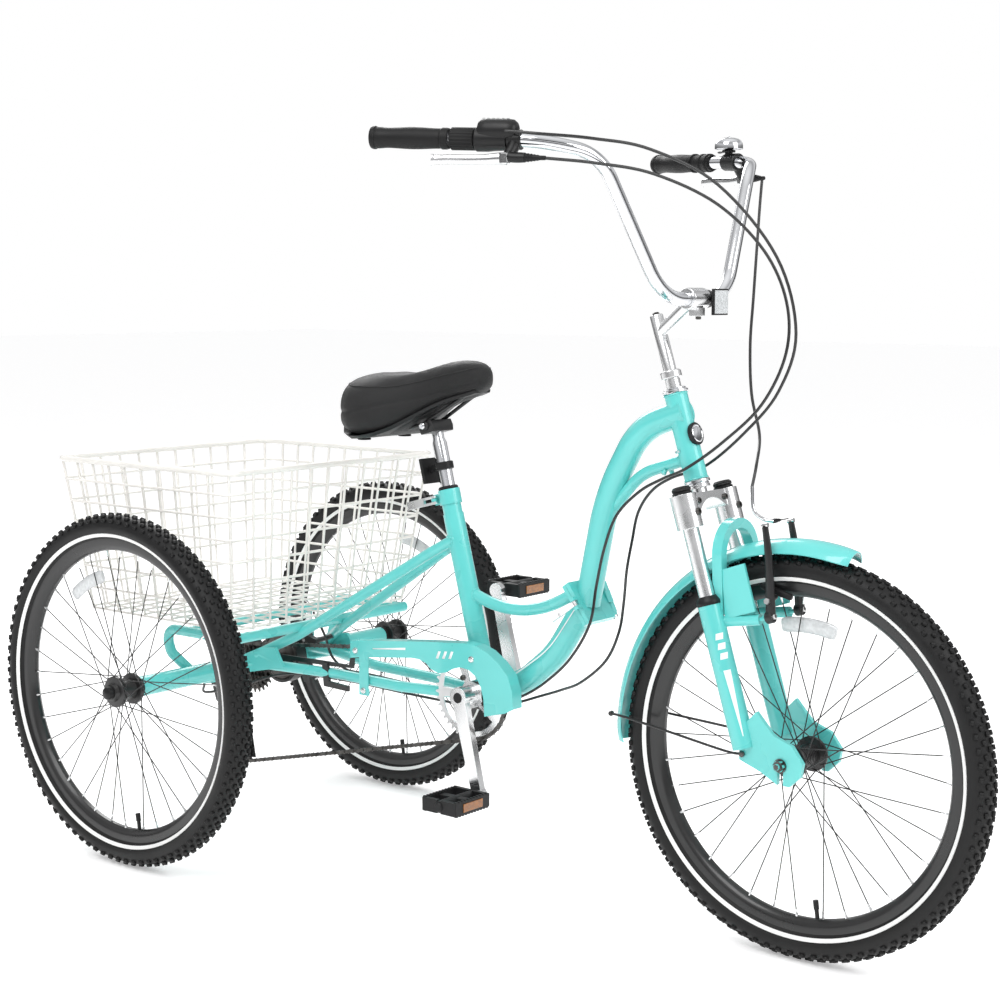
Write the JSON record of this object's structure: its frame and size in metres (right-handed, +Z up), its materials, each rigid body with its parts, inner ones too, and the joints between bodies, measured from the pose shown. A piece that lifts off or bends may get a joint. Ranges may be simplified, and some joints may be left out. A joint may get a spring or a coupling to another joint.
{
  "type": "adult tricycle",
  "caption": "Folding adult tricycle with two rear wheels, a wire basket, a sprung front fork, swept handlebar and chain drive.",
  "frame": {"origin": "on the ground, midway between the ends of the machine and on its middle plane", "axes": "+X forwards, +Y to the rider's left, +Z up"},
  "size_m": [1.8897, 0.8276, 1.3486],
  "materials": {
    "paint": "gloss",
    "chrome": "polished",
    "alloy": "satin",
    "black_metal": "satin",
    "black_plastic": "matte",
    "grip": "matte",
    "tyre": "matte",
    "white_coat": "satin",
    "saddle": "satin",
    "cable": "satin",
    "dark_steel": "satin"
  },
  "bodies": {
    "rear_frame": {"seat_tube": "paint", "down_tube": "paint", "frame_brace": "paint", "chainstays": "paint", "seat_stays": "paint", "axle_tubes": "paint", "basket_support": "paint", "basket": "white_coat", "chain_guard": "paint", "guard_bracket": "black_metal", "hinge_rear": "paint", "band_brake": "black_metal", "chain": "dark_steel"},
    "front_frame": {"main_tube": "paint", "head_tube": "paint", "headset": "chrome", "hinge_front": "paint"},
    "fold_lever": {"fold_lever": "alloy"},
    "steerer": {"fork_crown": "alloy", "crown_caps": "black_plastic", "stem": "alloy", "handlebar": "chrome", "grips": "grip", "lever_mounts": "black_plastic", "bell": "chrome", "bar_reflector": "black_plastic", "shift_cable": "cable", "rear_brake_cable": "cable", "front_brake_cable": "cable"},
    "fork_lower": {"fork_lowers": "paint", "front_fender": "paint"},
    "front_wheel": {"front_tyre": "tyre", "front_rim": "black_metal", "front_spokes": "black_metal", "front_hub": "black_metal"},
    "vbrake_right": {"vbrake_right": "black_metal"},
    "vbrake_left": {"vbrake_left": "black_metal"},
    "lever_left": {"lever_left": "alloy"},
    "lever_right": {"lever_right": "alloy"},
    "twist_grip": {"twist_grip": "grip"},
    "bell_lever": {"bell_lever": "black_plastic"},
    "crank": {"crank_right": "alloy", "crank_left": "alloy"},
    "pedal_right": {"pedal_right": "black_plastic"},
    "pedal_left": {"pedal_left": "black_plastic"},
    "cassette": {"cassette": "dark_steel"},
    "right_wheel": {"right_tyre": "tyre", "right_rim": "black_metal", "right_spokes": "black_metal", "right_hub": "black_metal"},
    "left_wheel": {"left_tyre": "tyre", "left_rim": "black_metal", "left_spokes": "black_metal", "left_hub": "black_metal"},
    "seat": {"seatpost": "chrome", "saddle": "saddle", "saddle_rails": "black_metal"},
    "seat_qr": {"seat_qr": "alloy"},
    "derailleur": {"derailleur": "dark_steel"},
    "brake_arm": {"brake_arm": "alloy"}
  },
  "joints": [
    {"name": "fold", "type": "hinge", "parent": "rear_frame", "child": "front_frame", "pos_m": [0.184, 0.058, 0.538], "axis": [-0.4384, 0, 0.8988], "range_deg": [0, 140], "deforming": ["shift_cable", "rear_brake_cable"]},
    {"name": "fold_latch", "type": "hinge", "parent": "front_frame", "child": "fold_lever", "pos_m": [0.18805, -0.042, 0.54094], "axis": [-0.5878, 0, 0.809], "range_deg": [0, 110]},
    {"name": "steer", "type": "hinge", "parent": "front_frame", "child": "steerer", "pos_m": [0.405, 0, 0.7665], "axis": [0.3007, 0, -0.9537], "range_deg": [-35, 35], "deforming": ["front_brake_cable"]},
    {"name": "suspension", "type": "slide", "parent": "steerer", "child": "fork_lower", "axis": [-0.3007, 0, 0.9537], "range_m": [0, 0.04], "stiffness_N_per_m": 9000, "springref_m": -0.02},
    {"name": "front_wheel_spin", "type": "hinge", "parent": "fork_lower", "child": "front_wheel", "pos_m": [0.613, 0, 0.332], "axis": [0, 1, 0], "continuous": true},
    {"name": "vbrake_right_pivot", "type": "hinge", "parent": "fork_lower", "child": "vbrake_right", "pos_m": [0.5715, -0.046, 0.5612], "axis": [-0.9537, 0, -0.3007], "range_deg": [0, 2]},
    {"name": "vbrake_left_pivot", "type": "hinge", "parent": "fork_lower", "child": "vbrake_left", "pos_m": [0.5715, 0.046, 0.5612], "axis": [0.9537, 0, 0.3007], "range_deg": [0, 2]},
    {"name": "lever_left_pull", "type": "hinge", "parent": "steerer", "child": "lever_left", "pos_m": [0.2702, 0.34197, 1.27535], "axis": [0, 0, 1], "range_deg": [0, 25], "stiffness_Nm_per_rad": 0.8, "springref_deg": -11.46},
    {"name": "lever_right_pull", "type": "hinge", "parent": "steerer", "child": "lever_right", "pos_m": [0.2702, -0.34197, 1.27535], "axis": [0, 0, -1], "range_deg": [0, 25], "stiffness_Nm_per_rad": 0.8, "springref_deg": -11.46},
    {"name": "twist_shift", "type": "hinge", "parent": "steerer", "child": "twist_grip", "pos_m": [0.19249, -0.34455, 1.30788], "axis": [0.9399, 0.3397, -0.0341], "range_deg": [-45, 30]},
    {"name": "bell_ring", "type": "hinge", "parent": "steerer", "child": "bell_lever", "pos_m": [0.25358, 0.32247, 1.32266], "axis": [0, 0, 1], "range_deg": [0, 30], "stiffness_Nm_per_rad": 0.02},
    {"name": "crank_spin", "type": "hinge", "parent": "rear_frame", "child": "crank", "pos_m": [-0.0375, 0, 0.351], "axis": [0, 1, 0], "continuous": true},
    {"name": "pedal_right_spin", "type": "hinge", "parent": "crank", "child": "pedal_right", "pos_m": [0.00661, -0.14, 0.18165], "axis": [0, 1, 0], "continuous": true},
    {"name": "pedal_left_spin", "type": "hinge", "parent": "crank", "child": "pedal_left", "pos_m": [-0.08161, 0.14, 0.52035], "axis": [0, 1, 0], "continuous": true},
    {"name": "cassette_spin", "type": "hinge", "parent": "rear_frame", "child": "cassette", "pos_m": [-0.613, -0.049, 0.332], "axis": [0, 1, 0], "continuous": true},
    {"name": "right_wheel_spin", "type": "hinge", "parent": "rear_frame", "child": "right_wheel", "pos_m": [-0.613, -0.2, 0.332], "axis": [0, 1, 0], "continuous": true},
    {"name": "left_wheel_spin", "type": "hinge", "parent": "rear_frame", "child": "left_wheel", "pos_m": [-0.613, 0.368, 0.332], "axis": [0, 1, 0], "continuous": true},
    {"name": "seat_height", "type": "slide", "parent": "rear_frame", "child": "seat", "axis": [-0.2564, 0, 0.9666], "range_m": [-0.02, 0.06]},
    {"name": "seat_clamp", "type": "hinge", "parent": "rear_frame", "child": "seat_qr", "pos_m": [-0.15286, -0.018, 0.69226], "axis": [-0.2571, 0, 0.9664], "range_deg": [0, 100]},
    {"name": "gear_shift", "type": "slide", "parent": "rear_frame", "child": "derailleur", "axis": [0, 1, 0], "range_m": [-0.015, 0.01], "deforming": ["chain"]},
    {"name": "rear_brake_pull", "type": "hinge", "parent": "rear_frame", "child": "brake_arm", "pos_m": [-0.555, 0.062, 0.372], "axis": [0, 1, 0], "range_deg": [0, 15]}
  ],
  "couplings": [
    {"joint": "vbrake_right_pivot", "follows": "lever_left_pull", "ratio": 0.08},
    {"joint": "vbrake_left_pivot", "follows": "lever_left_pull", "ratio": 0.08},
    {"joint": "rear_brake_pull", "follows": "lever_right_pull", "ratio": 0.6},
    {"joint": "twist_shift", "follows": "gear_shift", "rad_per_m": 52.3},
    {"joint": "cassette_spin", "follows": "crank_spin", "ratio": 2}
  ]
}
